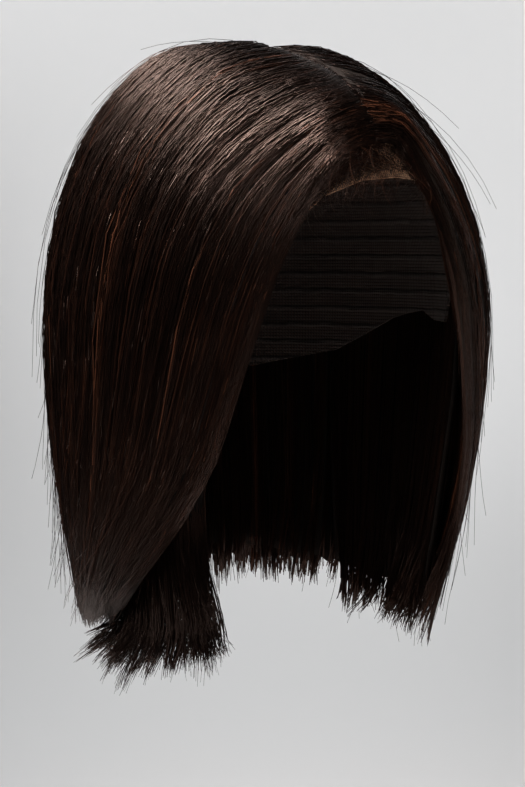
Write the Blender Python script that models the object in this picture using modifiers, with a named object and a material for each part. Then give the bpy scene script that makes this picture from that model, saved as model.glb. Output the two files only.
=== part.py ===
"""Lace front wig, a long bob, as it hangs when worn.

Metres, +Z up. The wearer faces -Y, and the wearer's right is -X. The origin is the point inside the cap that rests
on the top of the head.

Two nested skins carry everything. The cap skin is the wearer's head and, below it, the inner side of the hanging
hair. The hair skin is the outline of the dressed hair. A place on either is an angle and a fall:
    angle  degrees round the head from the front, negative to the wearer's right
    fall   0 at the crown, 1 where the skin is widest, 2 at the cut ends
A depth between the skins is 0 on the cap and 1 on the outline of the hair.
"""

import math
from collections import namedtuple

import bmesh
import bpy

# The head that the cap fits: 545 mm round.
HEAD_HALF_WIDTH = 0.076
HEAD_HALF_LENGTH = 0.096
HEAD_DOME = 0.105  # from the top of the head down to its widest level
DOME_ARC = math.pi / 2 * HEAD_DOME  # about the length of a line from the crown to the widest level
CROWN_BEHIND_TOP = 0.020  # the crown, where the hair fans out, lies this far behind the top of the head

# The foundation: a knitted cap, with a sheer lace strip along the hairline.
CAP_WALL = 0.0012
LACE_WALL = 0.0010
LACE_WIDTH = 0.026
LACE_END_WIDTH = 0.009
LACE_NARROWS_ANGLE = 25.0
LACE_END_ANGLE = 60.0
LACE_SEAM = 0.0004

# How far the dressed hair stands off the head.
CROWN_VOLUME = 0.0225
SIDE_VOLUME = 0.033
BACK_VOLUME = 0.039
FRONT_VOLUME = 0.0005
EDGE_VOLUME = 0.004  # over the hairline, where the hair lies flat
CROWN_SET_BACK = 0.025  # the top of the hair lies this far behind the middle of its widest level

# Levels below the top of the head.
WIDEST_DROP = 0.128
SIDE_LENGTH = 0.280
BACK_LENGTH = 0.276
UNDER_SIDE_LENGTH = 0.290
NAPE_LENGTH = 0.276

# Clearances between the soft solids.
HAIR_SEAT = 0.0015
WEFT_SEAT = 0.0005
LAYER_GAP = 0.0018
SEAM_GAP = 0.0010
LEAST_WIDTH = 0.05  # share of the head's width at which the gap at a seam stops growing as an angle

# Locks, and how finely each layer is divided.
TOP_LOCKS = 12
BACK_LOCKS = 14
UNDER_LOCKS = 8
NAPE_LOCKS = 10
COLUMNS_A_LOCK = 3
SWEEP_ROWS = 14
BACK_ROWS = 14
UNDER_ROWS = 10
NAPE_ROWS = 7
TOP_RELIEF = 0.0024
UNDER_RELIEF = 0.0017
GROOVE_FULL = 0.5  # share along a strand where the grooves are deepest
TIP_GROOVE = 0.35  # share of their depth that is left at the ends
LOCK_ROUNDNESS = 0.7
LOCK_STEP = 0.020  # share of a strand by which a lock's edges are shorter than its middle
LOCK_UNEVENNESS = 0.008  # share of a strand by which one lock may be shorter than another

# Thickness of the layers. Depths are shares of the way from the cap to the outline of the hair.
TOP_LAYER_DEPTH = 0.52  # where the hanging top layer's inner side lies
TOP_LAYER_LIFT = (0.80, 1.50)  # falls between which it leaves the cap
UNDER_LAYER_DEPTH = 0.30
ROOT_THICKNESS = 0.55
ROOT_SHARE = 0.16
FACE_EDGE_THICKNESS = 0.30
FACE_EDGE_SHARE = 0.22
TIP_THICKNESS = 0.35
TIP_START = 0.80
LEFT_CURL = 0.08  # how far the top layer's ends turn in on the wearer's left
RIGHT_CURL = -0.12  # on the right they turn out a little
FLICK_START = 0.85  # share along the under layer where its ends turn out
RIGHT_FLICK = (0.15, 0.60)  # how far they turn out, beside the face and behind the ear
SLIGHT_FLICK = (0.05, 0.05)
LAST_OF_PARTING = 0.66  # up to this place across a sweep, its strands are rooted on the parting

# Shape of the hair skin above its widest level: 2 is an ellipse, and more is fuller.
DOME_FULLNESS = 2.10
# The outline comes down to the head over the forehead, between these angles from the front and these falls.
FLAT_ANGLES = (4, 52)
FLAT_FALLS = (0.05, 0.60)
# The hair's length changes from the sides to the back between these angles.
SIDE_TO_BACK = (85, 165)
CAP_SEGMENTS = 48
CAP_RINGS = 8

Section = namedtuple("Section", "fall width")
# The hanging hair draws in towards its ends. Width is a share of the hair's width at its widest level.
OUTLINE = [
    Section(1.00, 1.000),
    Section(1.20, 0.986),
    Section(1.40, 0.964),
    Section(1.60, 0.924),
    Section(1.80, 0.865),
    Section(2.00, 0.792),
]
# The inner side of the hanging hair, as a share of the head's width.
INNER_OUTLINE = [
    Section(1.00, 1.000),
    Section(1.30, 0.960),
    Section(1.65, 0.860),
    Section(2.00, 0.740),
]

Rim = namedtuple("Rim", "angle fall")
# The cap's edge: over the forehead, down the temple to the tab before the ear, over the ear and down to the nape.
CAP_RIM = [
    Rim(0.0, 0.702),
    Rim(15.0, 0.711),
    Rim(30.0, 0.755),
    Rim(45.0, 0.860),
    Rim(60.0, 1.020),
    Rim(70.0, 1.130),
    Rim(80.0, 1.070),
    Rim(95.0, 1.090),
    Rim(120.0, 1.200),
    Rim(150.0, 1.250),
    Rim(180.0, 1.250),
]

Step = namedtuple("Step", "angle fall")
Guide = namedtuple("Guide", "across steps")
# Guide strands, front to back, each from its root to its end. Across is the place in the layer, 0 to 1.
# The wearer's right is swept back, and its strands gather behind the ear.
RIGHT_SWEEP = [
    Guide(0.00, [Step(0, 0.600), Step(-17, 0.635), Step(-33, 0.770), Step(-45, 0.98),
                 Step(-51, 1.23), Step(-58, 1.46), Step(-78, 1.70), Step(-112, 1.94)]),
    Guide(0.33, [Step(0, 0.37), Step(-30, 0.49), Step(-55, 0.70), Step(-66, 0.98),
                 Step(-71, 1.25), Step(-78, 1.49), Step(-93, 1.73), Step(-116, 1.95)]),
    Guide(0.66, [Step(0, 0.012), Step(-60, 0.27), Step(-86, 0.58), Step(-94, 0.94),
                 Step(-97, 1.26), Step(-100, 1.51), Step(-108, 1.75), Step(-120, 1.96)]),
    Guide(1.00, [Step(-100, 0.008), Step(-116, 0.27), Step(-122, 0.57), Step(-124, 0.94),
                 Step(-125, 1.27), Step(-125, 1.52), Step(-125, 1.75), Step(-125, 1.95)]),
]
# The wearer's left falls straight from the temple.
LEFT_SWEEP = [
    Guide(0.00, [Step(0, 0.600), Step(5, 0.63), Step(12, 0.79), Step(23, 1.01),
                 Step(36, 1.27), Step(45, 1.52), Step(51, 1.76), Step(56, 2.04)]),
    Guide(0.33, [Step(0, 0.37), Step(28, 0.47), Step(52, 0.69), Step(63, 0.98),
                 Step(67, 1.26), Step(70, 1.51), Step(73, 1.76), Step(76, 2.02)]),
    Guide(0.66, [Step(0, 0.012), Step(60, 0.27), Step(86, 0.58), Step(94, 0.94),
                 Step(97, 1.26), Step(98, 1.51), Step(99, 1.75), Step(100, 1.98)]),
    Guide(1.00, [Step(100, 0.008), Step(116, 0.27), Step(122, 0.57), Step(124, 0.94),
                 Step(125, 1.27), Step(125, 1.52), Step(125, 1.75), Step(125, 1.95)]),
]
# The back fans out from the crown. It starts and ends where the sweeps do.
BACK_FALL = [
    Guide(0.00, [Step(100, 0.008), Step(116, 0.27), Step(122, 0.57), Step(124, 0.94),
                 Step(125, 1.27), Step(125, 1.52), Step(125, 1.75), Step(125, 1.95)]),
    Guide(0.50, [Step(180, 0.008), Step(180, 0.27), Step(180, 0.57), Step(180, 0.94),
                 Step(180, 1.27), Step(180, 1.52), Step(180, 1.75), Step(180, 1.97)]),
    Guide(1.00, [Step(260, 0.008), Step(244, 0.27), Step(238, 0.57), Step(236, 0.94),
                 Step(235, 1.27), Step(235, 1.52), Step(235, 1.75), Step(235, 1.95)]),
]
# The shorter hair below, sewn on under the top layer. Its ends flick forward on the wearer's right.
UNDER_RIGHT = [
    Guide(0.00, [Step(-67, 1.02), Step(-69, 1.34), Step(-74, 1.65), Step(-66, 1.98)]),
    Guide(0.50, [Step(-95, 1.02), Step(-95, 1.34), Step(-97, 1.66), Step(-94, 2.02)]),
    Guide(1.00, [Step(-123, 1.02), Step(-123, 1.34), Step(-122, 1.66), Step(-120, 2.04)]),
]
UNDER_LEFT = [
    Guide(0.00, [Step(60, 1.02), Step(60, 1.30), Step(60, 1.65), Step(58, 1.98)]),
    Guide(1.00, [Step(122, 1.02), Step(122, 1.30), Step(119, 1.65), Step(114, 1.96)]),
]
NAPE_FALL = [
    Guide(0.00, [Step(124, 1.02), Step(124, 1.30), Step(124, 1.62), Step(126, 1.92)]),
    Guide(1.00, [Step(236, 1.02), Step(236, 1.30), Step(236, 1.62), Step(234, 1.92)]),
]

# What the top layers share, and the under layers: their lengths at the side and the back, how far off the cap they
# sit, the depth of the grooves between their locks, and their colour.
Shape = namedtuple("Shape", "side back seat relief colour")

# Finishes, from the photograph.
DARK_BROWN = (0.020, 0.011, 0.008, 1.0)
WARM_BROWN = (0.045, 0.021, 0.012, 1.0)
BEIGE_LACE = (0.60, 0.43, 0.32, 1.0)
CAP_BROWN = (0.050, 0.032, 0.024, 1.0)
HAIR_ROUGHNESS = 0.42
CLOTH_ROUGHNESS = 0.85


def smooth(value, low, high):
    """0 below low, 1 above high, and an even S between them."""
    share = min(1.0, max(0.0, (value - low) / (high - low)))
    return share * share * (3 - 2 * share)


def mix(start, end, share):
    return start + (end - start) * share


def curve_through(values, share):
    """A smooth curve through evenly spaced values, at a share of its length."""
    last = len(values) - 1
    place = min(max(share, 0.0), 1.0) * last
    k = min(int(place), last - 1)
    part = place - k
    before = values[k - 1] if k > 0 else 2 * values[0] - values[1]
    after = values[k + 2] if k + 2 <= last else 2 * values[last] - values[last - 1]
    slope_start = (values[k + 1] - before) / 2
    slope_end = (after - values[k]) / 2
    square, cube = part * part, part**3
    return (
        (2 * cube - 3 * square + 1) * values[k]
        + (cube - 2 * square + part) * slope_start
        + (3 * square - 2 * cube) * values[k + 1]
        + (cube - square) * slope_end
    )


def between_rows(rows, key, column, value):
    """A table's column at a value of its key column, on a straight line from row to row."""
    if value <= getattr(rows[0], key):
        return getattr(rows[0], column)
    for row, following in zip(rows, rows[1:]):
        start, end = getattr(row, key), getattr(following, key)
        if value <= end:
            share = (value - start) / (end - start)
            return mix(getattr(row, column), getattr(following, column), share)
    return getattr(rows[-1], column)


def from_front(angle):
    """The angle without its side, 0 to 180."""
    turned = angle % 360
    return min(turned, 360 - turned)


def dome_width(fall):
    """Share of the full width that a dome has at a fall from 0 to 1."""
    return math.sin(math.radians(90 * min(fall, 1.0)))


def end_drop(angle, side, back):
    """How far below the head's top the hair is cut: side beside the face, and back behind."""
    return mix(side, back, smooth(from_front(angle), *SIDE_TO_BACK))


def cap_skin(angle, fall, wall, length):
    """A point that lies wall outside the head, or on the inner side of the hanging hair. length is where that ends."""
    turn = math.radians(angle)
    half_width = HEAD_HALF_WIDTH + wall
    half_length = HEAD_HALF_LENGTH + wall
    if fall <= 1:
        x = half_width * dome_width(fall) * math.sin(turn)
        set_back = CROWN_BEHIND_TOP * (1 - fall) ** 2
        y = set_back - half_length * dome_width(fall) * math.cos(turn)
        rise = math.sqrt(max(0.0, 1 - (x / half_width) ** 2 - (y / half_length) ** 2))
        return x, y, -HEAD_DOME + (HEAD_DOME + wall) * rise
    z = mix(-HEAD_DOME, -length, fall - 1)
    level = 1 + (-HEAD_DOME - z) / (SIDE_LENGTH - HEAD_DOME)
    width = between_rows(INNER_OUTLINE, "fall", "width", level)
    return half_width * width * math.sin(turn), -half_length * width * math.cos(turn), z


def full_hair_skin(angle, fall, length):
    """The outline of the hair, as if it went all round the head."""
    turn = math.radians(angle)
    half_width = HEAD_HALF_WIDTH + SIDE_VOLUME
    half_length = HEAD_HALF_LENGTH + (BACK_VOLUME + FRONT_VOLUME) / 2
    middle = (BACK_VOLUME - FRONT_VOLUME) / 2
    if fall <= 1:
        width = dome_width(fall) ** (2 / DOME_FULLNESS)
        height = math.cos(math.radians(90 * fall)) ** (2 / DOME_FULLNESS) if fall < 1 else 0.0
        z = CROWN_VOLUME - (CROWN_VOLUME + WIDEST_DROP) * (1 - height)
        middle += CROWN_SET_BACK * (1 - fall) ** 2
    else:
        width = between_rows(OUTLINE, "fall", "width", fall)
        z = mix(-WIDEST_DROP, -length, fall - 1)
    return half_width * width * math.sin(turn), middle - half_length * width * math.cos(turn), z


def hair_point(angle, fall, depth, length, seat):
    """A point between the cap and the outline of the hair. The outline comes down to the head over the forehead."""
    inner = cap_skin(angle, fall, CAP_WALL + seat, length)
    outer = full_hair_skin(angle, fall, length)
    flat = cap_skin(angle, fall, CAP_WALL + seat + EDGE_VOLUME, length)
    raised = 1 - (1 - smooth(from_front(angle), *FLAT_ANGLES)) * smooth(fall, *FLAT_FALLS)
    outline = [mix(low, high, raised) for low, high in zip(flat, outer)]
    return [mix(low, high, depth) for low, high in zip(inner, outline)]


def strand_place(guides, across, along):
    """The angle and the fall of a layer's strand, at a share of the strand's length."""
    for guide, following in zip(guides, guides[1:]):
        if across <= following.across:
            break
    share = min(1.0, max(0.0, (across - guide.across) / (following.across - guide.across)))
    places = []
    for column in ("angle", "fall"):
        front = curve_through([getattr(step, column) for step in guide.steps], along)
        back = curve_through([getattr(step, column) for step in following.steps], along)
        places.append(mix(front, back, share))
    return places


def off_seams(angle, fall, across, turn):
    """The angle of a strand with both sides of its layer moved in by half a gap. turn is 1 or -1, as angles grow."""
    radius = HEAD_HALF_WIDTH * max(dome_width(fall), LEAST_WIDTH)
    inward = 1 - 2 * smooth(across, LAST_OF_PARTING, 1.0)
    return angle + turn * math.degrees(SEAM_GAP / 2 / radius) * inward


def layer_split(fall):
    """The depth where the top layer's inner side lies, over the shorter hair."""
    return TOP_LAYER_DEPTH * smooth(fall, *TOP_LAYER_LIFT)


def ridge(across, locks):
    """1 along the middle of a lock and 0 in the groove between two."""
    return abs(math.sin(math.pi * across * locks)) ** LOCK_ROUNDNESS


def lock_length(across, along, locks):
    """A share along the strand, shorter in the grooves, and with every lock cut a little differently."""
    number = int(min(across * locks, locks - 1))
    uneven = ((number * 7) % 5) / 5
    in_lock = ridge(across, locks)
    shorter = LOCK_STEP * (1 - in_lock) + LOCK_UNEVENNESS * uneven * in_lock
    return along * (1 - shorter)


def relief_share(along):
    """The grooves between locks deepen from the roots and fade again where the ends gather."""
    return smooth(along, 0.0, GROOVE_FULL) * mix(1.0, TIP_GROOVE, smooth(along, GROOVE_FULL, 1.0))


def slab(columns, rows):
    """A flat closed slab, one unit each way: x runs across a layer, y along its strands and z through its depth."""
    bm = bmesh.new()
    bmesh.ops.create_grid(bm, x_segments=columns, y_segments=rows, size=0.5)
    bmesh.ops.translate(bm, vec=(0.5, 0.5, 0.0), verts=bm.verts)
    bmesh.ops.solidify(bm, geom=bm.faces, thickness=1.0)
    lowest = min(vertex.co.z for vertex in bm.verts)
    bmesh.ops.translate(bm, vec=(0.0, 0.0, -lowest), verts=bm.verts)
    return bm


def finished(bm, name, collection, colour, roughness):
    """The bmesh as an object with its own material. A closed one is turned to face outwards."""
    bmesh.ops.recalc_face_normals(bm, faces=bm.faces)
    if all(edge.is_manifold for edge in bm.edges) and bm.calc_volume(signed=True) < 0:
        bmesh.ops.reverse_faces(bm, faces=bm.faces)
    mesh = bpy.data.meshes.new(name)
    bm.to_mesh(mesh)
    bm.free()
    mesh.shade_smooth()
    mesh.set_sharp_from_angle(angle=math.radians(50))
    node = bpy.data.objects.new(name, mesh)
    node.data.materials.append(finish(name, colour, roughness))
    collection.objects.link(node)
    return node


def finish(name, colour, roughness):
    material = bpy.data.materials.new(name + "_finish")
    material.use_nodes = True
    shader = material.node_tree.nodes["Principled BSDF"]
    shader.inputs["Base Color"].default_value = colour
    shader.inputs["Roughness"].default_value = roughness
    shader.inputs["Metallic"].default_value = 0.0
    return material


def top_band(across, along, fall, curl, beside_face):
    """The depths between which a top layer lies. beside_face thins its first strands, and its ends turn in by curl."""
    inner = layer_split(fall)
    thick = (1 - inner) * mix(ROOT_THICKNESS, 1.0, smooth(along, 0.0, ROOT_SHARE))
    if beside_face:
        thick *= mix(FACE_EDGE_THICKNESS, 1.0, smooth(across, 0.0, FACE_EDGE_SHARE))
    at_tip = smooth(along, TIP_START, 1.0)
    centre = inner + thick / 2 - curl * at_tip
    thick *= mix(1.0, TIP_THICKNESS, at_tip)
    return centre - thick / 2, centre + thick / 2


def under_band(across, along, fall, flick):
    """The depths between which an under layer lies. flick turns its ends out, at its first and last strand."""
    thick = min(layer_split(fall) - LAYER_GAP / SIDE_VOLUME, UNDER_LAYER_DEPTH)
    tip = mix(1.0, TIP_THICKNESS, smooth(along, TIP_START, 1.0))
    centre = thick / 2 + mix(*flick, across) * smooth(along, FLICK_START, 1.0)
    return centre - thick * tip / 2, centre + thick * tip / 2


def hair_layer(name, guides, locks, rows, band, shape, collection):
    """A layer of hair as one solid, bent out of a slab. band gives its depths, and shape the rest of its form."""
    turn = math.copysign(1, guides[-1].steps[-1].angle - guides[0].steps[-1].angle)
    bm = slab(locks * COLUMNS_A_LOCK, rows)
    for vertex in bm.verts:
        across, along, outward = vertex.co
        angle, fall = strand_place(guides, across, lock_length(across, along, locks))
        angle = off_seams(angle, fall, across, turn)
        length = end_drop(angle, shape.side, shape.back)
        x, y, z = hair_point(angle, fall, mix(*band(across, along, fall), outward), length, shape.seat)
        groove = shape.relief * (1 - ridge(across, locks)) * relief_share(along) * outward
        x -= groove * math.sin(math.radians(angle))
        y += groove * math.cos(math.radians(angle))
        vertex.co = x, y, z
    return finished(bm, name, collection, shape.colour, HAIR_ROUGHNESS)


def rim_fall(angle):
    return between_rows(CAP_RIM, "angle", "fall", from_front(angle))


def lace_back_fall(angle):
    """The fall of the lace strip's sewn edge, behind the hairline."""
    width = mix(LACE_WIDTH, LACE_END_WIDTH, smooth(from_front(angle), LACE_NARROWS_ANGLE, LACE_END_ANGLE))
    return rim_fall(angle) - width / DOME_ARC


def cap_edge_fall(angle):
    """The fall of the cap's edge: the lace's sewn edge in front, and the rim elsewhere."""
    if from_front(angle) > LACE_END_ANGLE + 0.5:
        return rim_fall(angle)
    return lace_back_fall(angle) - LACE_SEAM / DOME_ARC


def walled(node, wall):
    """Gives an open skin its wall, outside the head."""
    shell = node.modifiers.new("wall", "SOLIDIFY")
    shell.thickness = wall
    shell.offset = 1.0
    shell.use_even_offset = True
    return node


def foundation_cap(collection):
    """A sphere's upper half drawn over the head, down to the cap's edge."""
    bm = bmesh.new()
    bmesh.ops.create_uvsphere(bm, u_segments=CAP_SEGMENTS, v_segments=2 * CAP_RINGS, radius=1.0)
    lower = [vertex for vertex in bm.verts if vertex.co.z < -0.001]
    bmesh.ops.delete(bm, geom=lower, context="VERTS")
    for vertex in bm.verts:
        angle = math.degrees(math.atan2(vertex.co.x, -vertex.co.y))
        ring = math.degrees(math.acos(min(1.0, vertex.co.z))) / 90
        vertex.co = cap_skin(angle, ring * cap_edge_fall(angle), 0.0, SIDE_LENGTH)
    return walled(finished(bm, "cap", collection, CAP_BROWN, CLOTH_ROUGHNESS), CAP_WALL)


def lace_front(collection):
    """A strip of lace that follows the hairline from temple to temple."""
    bm = bmesh.new()
    segments = round(2 * LACE_END_ANGLE / 360 * CAP_SEGMENTS)
    bmesh.ops.create_grid(bm, x_segments=segments, y_segments=2, size=1.0)
    for vertex in bm.verts:
        angle = LACE_END_ANGLE * vertex.co.x
        fall = mix(rim_fall(angle), lace_back_fall(angle), (vertex.co.y + 1) / 2)
        vertex.co = cap_skin(angle, fall, 0.0, SIDE_LENGTH)
    return walled(finished(bm, "lace_front", collection, BEIGE_LACE, CLOTH_ROUGHNESS), LACE_WALL)


def build_wig():
    wig = bpy.data.collections.new("lace_front_wig")
    bpy.context.scene.collection.children.link(wig)
    foundation_cap(wig)
    lace_front(wig)

    def right_sweep(across, along, fall):
        return top_band(across, along, fall, RIGHT_CURL, True)

    def left_sweep(across, along, fall):
        return top_band(across, along, fall, LEFT_CURL, True)

    def fan(across, along, fall):
        return top_band(across, along, fall, mix(LEFT_CURL, RIGHT_CURL, across), False)

    def flicked(across, along, fall):
        return under_band(across, along, fall, RIGHT_FLICK)

    def straight(across, along, fall):
        return under_band(across, along, fall, SLIGHT_FLICK)

    top = Shape(SIDE_LENGTH, BACK_LENGTH, HAIR_SEAT, TOP_RELIEF, DARK_BROWN)
    under = Shape(UNDER_SIDE_LENGTH, NAPE_LENGTH, WEFT_SEAT, UNDER_RELIEF, WARM_BROWN)
    hair_layer("sweep_right", RIGHT_SWEEP, TOP_LOCKS, SWEEP_ROWS, right_sweep, top, wig)
    hair_layer("sweep_left", LEFT_SWEEP, TOP_LOCKS, SWEEP_ROWS, left_sweep, top, wig)
    hair_layer("back_fall", BACK_FALL, BACK_LOCKS, BACK_ROWS, fan, top, wig)
    hair_layer("under_right", UNDER_RIGHT, UNDER_LOCKS, UNDER_ROWS, flicked, under, wig)
    hair_layer("under_left", UNDER_LEFT, UNDER_LOCKS, UNDER_ROWS, straight, under, wig)
    hair_layer("nape_fall", NAPE_FALL, NAPE_LOCKS, NAPE_ROWS, straight, under, wig)


for leftover in list(bpy.data.objects):
    bpy.data.objects.remove(leftover)
build_wig()
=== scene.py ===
# %% [markdown]
# # A lace front wig, strand by strand
#
# A wig like this is a knitted cap with a strip of sheer lace along the hairline. Fibres are machine-sewn to the cap
# in rows and knotted one by one into the lace. The solids of the frame give the cap, the lace strip and the outer
# form of each layer of hair. This script gives them what the eye expects: thousands of fibres that follow each layer,
# a net with knots, a knitted lining, soft studio light and a camera.
#
# It starts by loading the frame. The box of the solids is kept, so that the dressed wig can be measured against it
# at the end.

import math
from collections import namedtuple

import bmesh
import bpy
import numpy as np
from mathutils import Matrix, Vector


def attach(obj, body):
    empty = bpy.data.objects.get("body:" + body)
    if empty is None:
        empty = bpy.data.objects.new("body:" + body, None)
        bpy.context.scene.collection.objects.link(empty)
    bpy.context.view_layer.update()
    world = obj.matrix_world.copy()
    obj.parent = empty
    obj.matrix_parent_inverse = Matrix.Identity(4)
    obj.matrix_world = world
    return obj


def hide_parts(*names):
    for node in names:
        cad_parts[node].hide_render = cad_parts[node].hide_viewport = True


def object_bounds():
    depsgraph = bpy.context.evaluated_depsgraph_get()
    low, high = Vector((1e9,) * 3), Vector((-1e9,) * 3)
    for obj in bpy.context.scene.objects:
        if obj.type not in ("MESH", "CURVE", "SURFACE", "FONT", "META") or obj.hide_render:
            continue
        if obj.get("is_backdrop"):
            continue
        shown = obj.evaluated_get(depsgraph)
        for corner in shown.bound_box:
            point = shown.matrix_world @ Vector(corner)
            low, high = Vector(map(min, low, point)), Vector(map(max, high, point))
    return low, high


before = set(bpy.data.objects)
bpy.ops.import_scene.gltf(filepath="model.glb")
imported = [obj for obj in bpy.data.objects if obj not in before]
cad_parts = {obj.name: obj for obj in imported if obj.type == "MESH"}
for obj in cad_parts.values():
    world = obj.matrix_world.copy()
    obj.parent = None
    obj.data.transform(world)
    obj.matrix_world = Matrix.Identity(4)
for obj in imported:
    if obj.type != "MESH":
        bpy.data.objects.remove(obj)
solid_box = [list(corner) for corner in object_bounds()]
print("solids:", ", ".join(sorted(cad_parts)))

# %% [markdown]
# ## Camera, light and background
#
# The picture is a studio portrait: a long lens a metre away, a little above the middle of the hair and towards the
# side that is swept back. The camera comes first, because every later choice is judged through it. Its place is
# given as a photographer would say it: round, up, distance and the point it looks at.

# %% Camera
LENS = 100.0  # millimetres, on a 36 mm sensor
CAMERA_ROUND = math.radians(-35.0)
CAMERA_UP = math.radians(4.0)
CAMERA_DISTANCE = 1.08
LOOKS_AT = Vector((-0.0105, 0.0073, -0.158))


def towards(turn, height):
    """The direction from the wig to something at a turn from the front, negative to the wearer's right."""
    level = math.cos(height)
    return Vector((level * math.sin(turn), -level * math.cos(turn), math.sin(height)))


def aim(thing, place, target):
    """Puts a camera or a light at a place, turned to a target."""
    thing.location = place
    thing.rotation_euler = (Vector(target) - Vector(place)).to_track_quat("-Z", "Y").to_euler()


camera_data = bpy.data.cameras.new("portrait")
camera_data.lens = LENS
camera = bpy.data.objects.new("portrait", camera_data)
bpy.context.scene.collection.objects.link(camera)
aim(camera, LOOKS_AT + CAMERA_DISTANCE * towards(CAMERA_ROUND, CAMERA_UP), LOOKS_AT)
bpy.context.scene.camera = camera
print("camera at", [round(c, 3) for c in camera.location])

# %% [markdown]
# Dark, glossy hair shows its form by what it mirrors, so the light matters more here than the colour of the hair. A
# large soft box high on the camera's left draws the broad sheen across the crown, and leaves the hair that hangs
# below it nearly black. Two weak ones open the front and the far side. One high behind adds to the sheen and lines
# the top and the edges. The world is a dim grey that keeps the deep parts from going black. Colours are shown with
# the Standard view, which keeps the greys of a plain background as they are set. A beam, in degrees, stands for the
# honeycomb in front of a soft box. It keeps the light off the paper beside the wig, which would else mirror as grey
# in the hair that turns away.

# %% Light
WORLD_GREY = (0.85, 0.84, 0.83, 1.0)
WORLD_STRENGTH = 0.05

scene = bpy.context.scene
scene.view_settings.view_transform = "Standard"
scene.view_settings.look = "None"

# Turn, height and beam are in degrees. A turn is from the wig's front, negative to the wearer's right.
Lamp = namedtuple("Lamp", "name turn height distance width tall beam watts tint")
LAMPS = [
    Lamp("key", -66, 45, 1.45, 0.80, 0.70, 75, 3.15, (1.0, 1.0, 1.0)),
    Lamp("front_fill", -24, 8, 1.80, 1.20, 1.20, 120, 0.22, (1.0, 0.93, 0.88)),
    Lamp("right_fill", 84, 10, 1.50, 0.40, 1.20, 120, 0.25, (1.0, 0.78, 0.64)),
    Lamp("top_back", -165, 58, 1.50, 0.90, 0.90, 54, 8.2, (1.0, 0.80, 0.70)),
]
for lamp in LAMPS:
    data = bpy.data.lights.new(lamp.name, "AREA")
    data.shape = "RECTANGLE"
    data.size = lamp.width
    data.size_y = lamp.tall
    data.energy = lamp.watts
    data.color = lamp.tint
    data.spread = math.radians(lamp.beam)
    light = bpy.data.objects.new(lamp.name, data)
    scene.collection.objects.link(light)
    aim(light, LOOKS_AT + lamp.distance * towards(math.radians(lamp.turn), math.radians(lamp.height)), LOOKS_AT)

world = bpy.data.worlds.new("studio")
world.use_nodes = True
world.node_tree.nodes["Background"].inputs["Color"].default_value = WORLD_GREY
world.node_tree.nodes["Background"].inputs["Strength"].default_value = WORLD_STRENGTH
scene.world = world
print(len(LAMPS), "lamps")

# %% [markdown]
# The backdrop is a paper sweep: one sheet that comes down behind, bends and runs forward as the floor. It is a short
# profile that is extruded sideways. It is marked as the stage, because it isn't part of the wig. Three spots behind
# the wig point away from it and light the paper alone: its upper left, its right and its floor.

# %% Colours and nodes
def colour(code):
    """An sRGB hex code as the linear colour that a shader wants."""
    shares = [int(code[k : k + 2], 16) / 255 for k in (1, 3, 5)]
    return tuple(c / 12.92 if c <= 0.04045 else ((c + 0.055) / 1.055) ** 2.4 for c in shares) + (1.0,)


def add(tree, kind, settings=None, **links):
    """Adds a node. settings go to its own properties or its sockets, and links come from other nodes' outputs."""
    node = tree.nodes.new(kind)
    for name, value in (settings or {}).items():
        if isinstance(name, str) and hasattr(node, name):
            setattr(node, name, value)
        else:
            node.inputs[name].default_value = value
    for name, output in links.items():
        socket = node.inputs[int(name[1:])] if name[0] == "_" else node.inputs[name.replace("_", " ")]
        tree.links.new(output, socket)
    return node


def new_material(name):
    """An empty material with its Principled shader, and the tree to add nodes to."""
    material = bpy.data.materials.new(name)
    material.use_nodes = True
    return material, material.node_tree, material.node_tree.nodes["Principled BSDF"]


def ramp(tree, source, stops):
    """A colour ramp with stops of place and hex code."""
    node = add(tree, "ShaderNodeValToRGB", Fac=source)
    points = node.color_ramp.elements
    while len(points) < len(stops):
        points.new(0.5)
    for point, (place, code) in zip(points, stops):
        point.position = place
        point.color = colour(code)
    return node.outputs["Color"]


# %% Backdrop
FLOOR_LEVEL = -0.62
SWEEP_BEHIND = 1.50
SWEEP_BEND = 0.70
SWEEP_WIDTH = 9.0
SWEEP_HEIGHT = 3.2
FLOOR_REACHES = 4.0

profile = bmesh.new()
corner = profile.verts.new((-SWEEP_WIDTH / 2, -FLOOR_REACHES, FLOOR_LEVEL))
bend_start = profile.verts.new((-SWEEP_WIDTH / 2, SWEEP_BEHIND - SWEEP_BEND, FLOOR_LEVEL))
profile.edges.new((corner, bend_start))
bend = bmesh.ops.spin(
    profile,
    geom=[bend_start],
    cent=(-SWEEP_WIDTH / 2, SWEEP_BEHIND - SWEEP_BEND, FLOOR_LEVEL + SWEEP_BEND),
    axis=(1.0, 0.0, 0.0),
    angle=math.radians(90),
    steps=16,
)
top = bmesh.ops.extrude_vert_indiv(profile, verts=[v for v in bend["geom_last"] if isinstance(v, bmesh.types.BMVert)])
bmesh.ops.translate(profile, vec=(0.0, 0.0, SWEEP_HEIGHT), verts=top["verts"])
side = bmesh.ops.extrude_edge_only(profile, edges=profile.edges[:])
bmesh.ops.translate(
    profile, vec=(SWEEP_WIDTH, 0.0, 0.0), verts=[v for v in side["geom"] if isinstance(v, bmesh.types.BMVert)]
)
bmesh.ops.rotate(profile, cent=(0, 0, 0), matrix=Matrix.Rotation(CAMERA_ROUND, 3, "Z"), verts=profile.verts)
bmesh.ops.recalc_face_normals(profile, faces=profile.faces)
backdrop_mesh = bpy.data.meshes.new("paper_sweep")
profile.to_mesh(backdrop_mesh)
profile.free()
backdrop_mesh.shade_smooth()
backdrop = bpy.data.objects.new("paper_sweep", backdrop_mesh)
scene.collection.objects.link(backdrop)

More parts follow.
